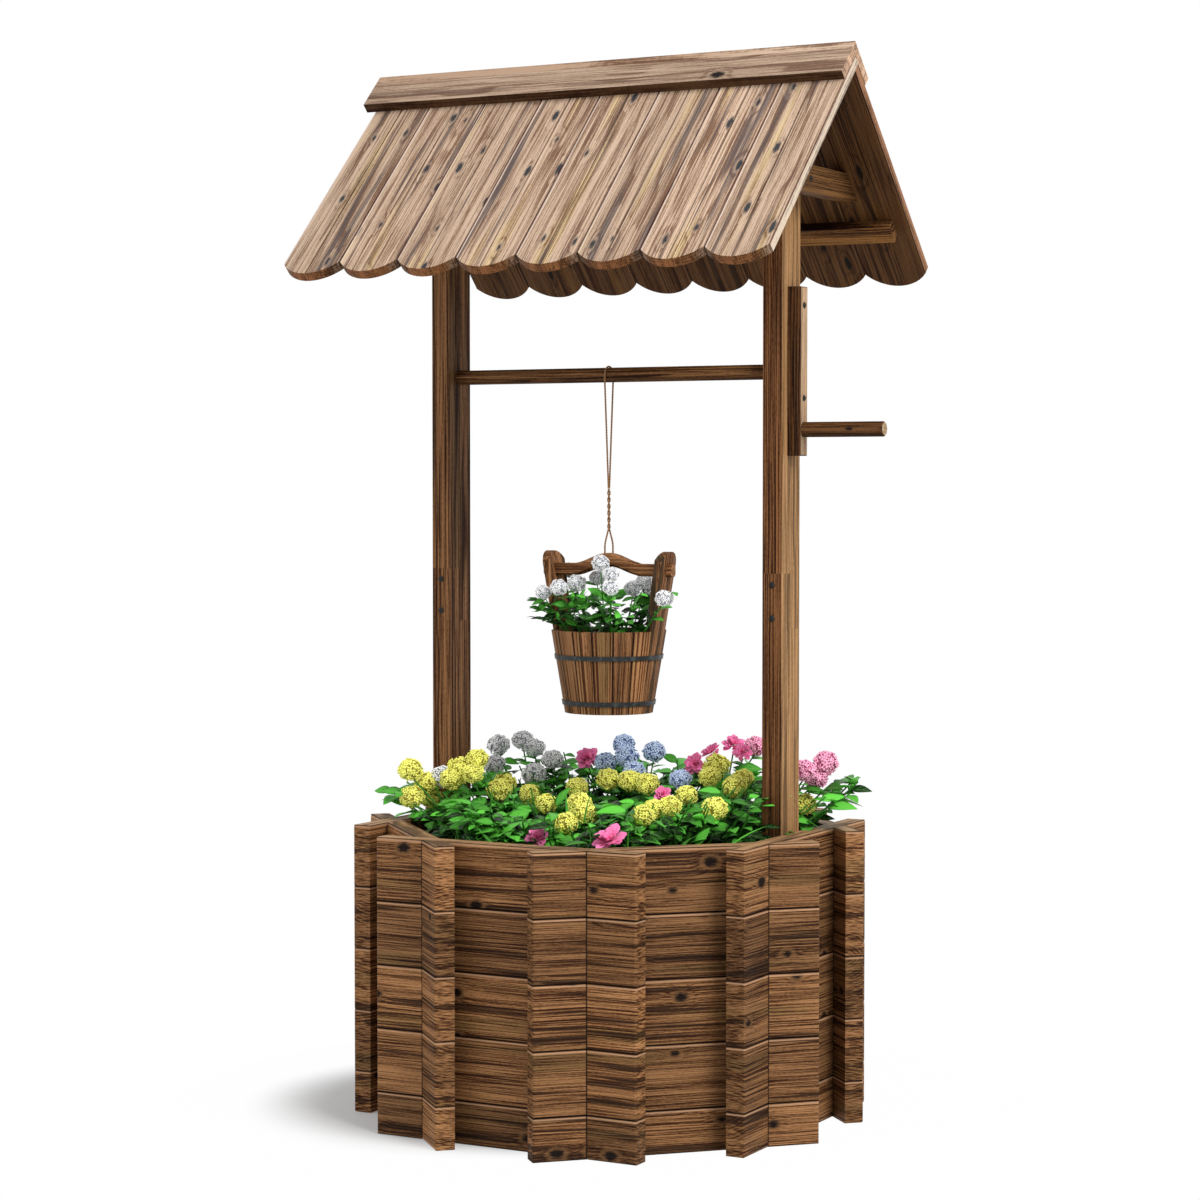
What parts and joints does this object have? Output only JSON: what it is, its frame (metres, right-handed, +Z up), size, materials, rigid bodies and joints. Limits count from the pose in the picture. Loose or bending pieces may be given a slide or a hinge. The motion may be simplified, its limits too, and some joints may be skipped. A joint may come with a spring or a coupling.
{
  "type": "wishing well planter",
  "caption": "Octagonal notched-board tub planter with two posts, a scalloped gable roof, a fixed crank and a coopered bucket that hangs by a cord from a rod.",
  "frame": {"origin": "centre of the octagonal tub, on the ground plane that its boards and posts stand on", "axes": "+Z up; X along the roof ridge and the rod, with the crank at +X; -Y is the front"},
  "size_m": [0.6165, 0.5474, 1.14],
  "materials": {
    "tub_wood": "flame-darkened fir boards, satin",
    "roof_wood": "flame-darkened fir boards, satin",
    "frame_wood": "dark stained fir, satin",
    "bucket_wood": "dark stained fir staves, satin",
    "cord": "twisted natural twine",
    "hoop_metal": "dark grey painted steel, satin",
    "screw_metal": "black oxide steel, satin",
    "soil": "dark potting soil, matt",
    "leaf": "green leaves, soft sheen",
    "petal_yellow": "yellow petals, matt",
    "petal_white": "white petals, matt",
    "petal_blue": "blue petals, matt",
    "petal_pink": "pink petals, matt"
  },
  "bodies": {
    "root": {"crank_arm": "frame_wood", "crank_handle": "frame_wood", "crank_screws": "screw_metal", "floor_bearer_front": "tub_wood", "floor_bearer_middle": "tub_wood", "floor_bearer_rear": "tub_wood", "floor_slats": "tub_wood", "gable_tie_left": "frame_wood", "gable_tie_right": "frame_wood", "post_left_lower": "frame_wood", "post_left_upper": "frame_wood", "post_right_lower": "frame_wood", "post_right_upper": "frame_wood", "post_screws": "screw_metal", "ridge_cap_front": "roof_wood", "ridge_cap_rear": "roof_wood", "rod": "frame_wood", "roof_batten_front": "frame_wood", "roof_batten_rear": "frame_wood", "roof_board_front_1": "roof_wood", "roof_board_front_2": "roof_wood", "roof_board_front_3": "roof_wood", "roof_board_front_4": "roof_wood", "roof_board_front_5": "roof_wood", "roof_board_front_6": "roof_wood", "roof_board_front_7": "roof_wood", "roof_board_front_8": "roof_wood", "roof_board_rear_1": "roof_wood", "roof_board_rear_2": "roof_wood", "roof_board_rear_3": "roof_wood", "roof_board_rear_4": "roof_wood", "roof_board_rear_5": "roof_wood", "roof_board_rear_6": "roof_wood", "roof_board_rear_7": "roof_wood", "roof_board_rear_8": "roof_wood", "splice_screws": "screw_metal", "tie_screws": "screw_metal", "tub_plants": "leaf", "tub_soil": "soil", "wall_front": "tub_wood", "wall_front_left": "tub_wood", "wall_front_right": "tub_wood", "wall_left": "tub_wood", "wall_rear": "tub_wood", "wall_rear_left": "tub_wood", "wall_rear_right": "tub_wood", "wall_right": "tub_wood"},
    "cord_upper": {"cord_hanger": "cord"},
    "cord_middle": {"cord_twist": "cord"},
    "cord_lower": {"cord_eye": "cord"},
    "bucket": {"bucket_ear_left": "bucket_wood", "bucket_ear_right": "bucket_wood", "bucket_floor": "bucket_wood", "bucket_handle_bar": "bucket_wood", "bucket_hoop_lower": "hoop_metal", "bucket_hoop_upper": "hoop_metal", "bucket_staves": "bucket_wood"}
  },
  "joints": [
    {"name": "bucket_swing", "type": "hinge", "parent": "root", "child": "cord_upper", "pos_m": [-0.003, 0, 0.8], "axis": [1, 0, 0], "range_deg": [-40, 40]},
    {"name": "bucket_sway", "type": "hinge", "parent": "cord_upper", "child": "cord_middle", "pos_m": [-0.003, 0, 0.677], "axis": [0, 1, 0], "range_deg": [-15, 15]},
    {"name": "bucket_spin", "type": "hinge", "parent": "cord_middle", "child": "cord_lower", "pos_m": [-0.003, 0, 0.633], "axis": [0, 0, 1], "range_deg": [-180, 180]},
    {"name": "bucket_tilt", "type": "hinge", "parent": "cord_lower", "child": "bucket", "pos_m": [-0.003, 0, 0.59975], "axis": [1, 0, 0], "range_deg": [-30, 30]}
  ]
}
